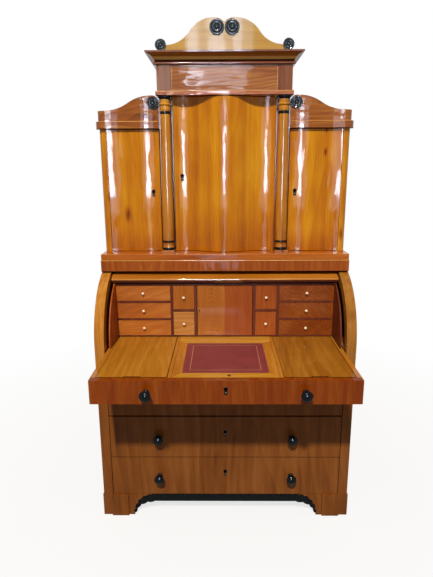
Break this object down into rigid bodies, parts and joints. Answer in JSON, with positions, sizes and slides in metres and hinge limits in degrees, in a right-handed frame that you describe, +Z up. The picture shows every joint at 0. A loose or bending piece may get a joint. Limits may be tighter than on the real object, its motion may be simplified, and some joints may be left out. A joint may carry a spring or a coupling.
{
  "type": "bureau bookcase",
  "caption": "Cylinder bureau with a pull-out writing slide, long drawers and small inner drawers, under a cabinet with curved solid doors, columns, cornice and pediment.",
  "frame": {"origin": "on the floor, under the middle of the whole with the writing slide pulled out", "axes": "+X to the viewer's right, +Y to the back, +Z up"},
  "size_m": [1.141, 0.94, 2.1745],
  "materials": {
    "cherry": "polished cherry",
    "inner_wood": "plain oiled inner wood",
    "ebonised": "black stain, polished",
    "leather": "dark red, dull",
    "brass": "worn",
    "iron": "dark"
  },
  "bodies": {
    "carcass": {"case_sides": "cherry", "cheek_facings": "cherry", "case_back": "inner_wood", "dust_boards": "inner_wood", "drawer_guides": "inner_wood", "top_rail": "cherry", "plinth_slab": "cherry", "feet": "cherry", "apron": "ebonised", "cheek_linings": "inner_wood", "pigeonhole_boards": "inner_wood", "pigeonhole_dividers": "inner_wood", "pivot_pins": "brass", "wing_sides": "cherry", "wing_bands": "cherry", "wing_crests": "cherry", "cabinet_sides": "inner_wood", "column_posts": "cherry", "cabinet_back": "inner_wood", "cabinet_shelves": "inner_wood", "column_shafts": "cherry", "column_rings": "ebonised", "architrave": "cherry", "frieze": "cherry", "cornice": "cherry", "cornice_cap": "cherry", "pediment": "cherry", "rosettes": "ebonised"},
    "writing_slide": {"slide_front": "cherry", "slide_frame": "inner_wood", "slide_knobs": "ebonised"},
    "writing_slope": {"slope_frame": "cherry", "slope_leather": "leather"},
    "left_lid": {"left_lid": "cherry"},
    "right_lid": {"right_lid": "cherry"},
    "fall": {"fall_panel": "cherry", "fall_arms": "iron"},
    "prospect_door": {"prospect_door": "cherry"},
    "centre_door": {"centre_door": "cherry"},
    "left_wing_door": {"left_wing_door": "cherry"},
    "right_wing_door": {"right_wing_door": "cherry"},
    "top_drawer": {"top_drawer_front": "cherry", "top_drawer_box": "inner_wood", "top_drawer_knobs": "ebonised"},
    "middle_drawer": {"middle_drawer_front": "cherry", "middle_drawer_box": "inner_wood", "middle_drawer_knobs": "ebonised"},
    "bottom_drawer": {"bottom_drawer_front": "cherry", "bottom_drawer_box": "inner_wood", "bottom_drawer_knobs": "ebonised"},
    "left_inner_drawer_bottom": {"left_inner_drawer_bottom": "cherry"},
    "left_inner_drawer_top": {"left_inner_drawer_top": "cherry"},
    "left_outer_drawer_bottom": {"left_outer_drawer_bottom": "cherry"},
    "left_outer_drawer_middle": {"left_outer_drawer_middle": "cherry"},
    "left_outer_drawer_top": {"left_outer_drawer_top": "cherry"},
    "right_inner_drawer_bottom": {"right_inner_drawer_bottom": "cherry"},
    "right_inner_drawer_top": {"right_inner_drawer_top": "cherry"},
    "right_outer_drawer_bottom": {"right_outer_drawer_bottom": "cherry"},
    "right_outer_drawer_middle": {"right_outer_drawer_middle": "cherry"},
    "right_outer_drawer_top": {"right_outer_drawer_top": "cherry"}
  },
  "joints": [
    {"name": "slide_runs", "type": "slide", "parent": "carcass", "child": "writing_slide", "axis": [0, -1, 0], "range_m": [-0.292, 0]},
    {"name": "slope_hinge", "type": "hinge", "parent": "writing_slide", "child": "writing_slope", "pos_m": [0, -0.3848, 0.7965], "axis": [1, 0, 0], "range_deg": [0, 60]},
    {"name": "left_lid_runs", "type": "slide", "parent": "writing_slide", "child": "left_lid", "axis": [0, 1, 0], "range_m": [0, 0.24]},
    {"name": "right_lid_runs", "type": "slide", "parent": "writing_slide", "child": "right_lid", "axis": [0, 1, 0], "range_m": [0, 0.24]},
    {"name": "fall_pivot", "type": "hinge", "parent": "carcass", "child": "fall", "pos_m": [0, 0.17498, 0.82], "axis": [-1, 0, 0], "range_deg": [-66.4, 0]},
    {"name": "prospect_hinge", "type": "hinge", "parent": "carcass", "child": "prospect_door", "pos_m": [0.121, 0.07498, 0.811], "axis": [0, 0, 1], "range_deg": [0, 90]},
    {"name": "centre_door_hinge", "type": "hinge", "parent": "carcass", "child": "centre_door", "pos_m": [0.2205, 0.16165, 1.19498], "axis": [0, 0, 1], "range_deg": [0, 90]},
    {"name": "left_wing_door_hinge", "type": "hinge", "parent": "carcass", "child": "left_wing_door", "pos_m": [-0.5167, 0.15753, 1.19498], "axis": [0, 0, -1], "range_deg": [0, 90]},
    {"name": "right_wing_door_hinge", "type": "hinge", "parent": "carcass", "child": "right_wing_door", "pos_m": [0.5167, 0.15753, 1.19498], "axis": [0, 0, 1], "range_deg": [0, 90]},
    {"name": "top_drawer_runs", "type": "slide", "parent": "carcass", "child": "top_drawer", "axis": [0, -1, 0], "range_m": [0, 0.35]},
    {"name": "middle_drawer_runs", "type": "slide", "parent": "carcass", "child": "middle_drawer", "axis": [0, -1, 0], "range_m": [0, 0.35]},
    {"name": "bottom_drawer_runs", "type": "slide", "parent": "carcass", "child": "bottom_drawer", "axis": [0, -1, 0], "range_m": [0, 0.35]},
    {"name": "left_inner_drawer_bottom_runs", "type": "slide", "parent": "carcass", "child": "left_inner_drawer_bottom", "axis": [0, -1, 0], "range_m": [0, 0.12]},
    {"name": "left_inner_drawer_top_runs", "type": "slide", "parent": "carcass", "child": "left_inner_drawer_top", "axis": [0, -1, 0], "range_m": [0, 0.12]},
    {"name": "left_outer_drawer_bottom_runs", "type": "slide", "parent": "carcass", "child": "left_outer_drawer_bottom", "axis": [0, -1, 0], "range_m": [0, 0.12]},
    {"name": "left_outer_drawer_middle_runs", "type": "slide", "parent": "carcass", "child": "left_outer_drawer_middle", "axis": [0, -1, 0], "range_m": [0, 0.12]},
    {"name": "left_outer_drawer_top_runs", "type": "slide", "parent": "carcass", "child": "left_outer_drawer_top", "axis": [0, -1, 0], "range_m": [0, 0.12]},
    {"name": "right_inner_drawer_bottom_runs", "type": "slide", "parent": "carcass", "child": "right_inner_drawer_bottom", "axis": [0, -1, 0], "range_m": [0, 0.12]},
    {"name": "right_inner_drawer_top_runs", "type": "slide", "parent": "carcass", "child": "right_inner_drawer_top", "axis": [0, -1, 0], "range_m": [0, 0.12]},
    {"name": "right_outer_drawer_bottom_runs", "type": "slide", "parent": "carcass", "child": "right_outer_drawer_bottom", "axis": [0, -1, 0], "range_m": [0, 0.12]},
    {"name": "right_outer_drawer_middle_runs", "type": "slide", "parent": "carcass", "child": "right_outer_drawer_middle", "axis": [0, -1, 0], "range_m": [0, 0.12]},
    {"name": "right_outer_drawer_top_runs", "type": "slide", "parent": "carcass", "child": "right_outer_drawer_top", "axis": [0, -1, 0], "range_m": [0, 0.12]}
  ]
}
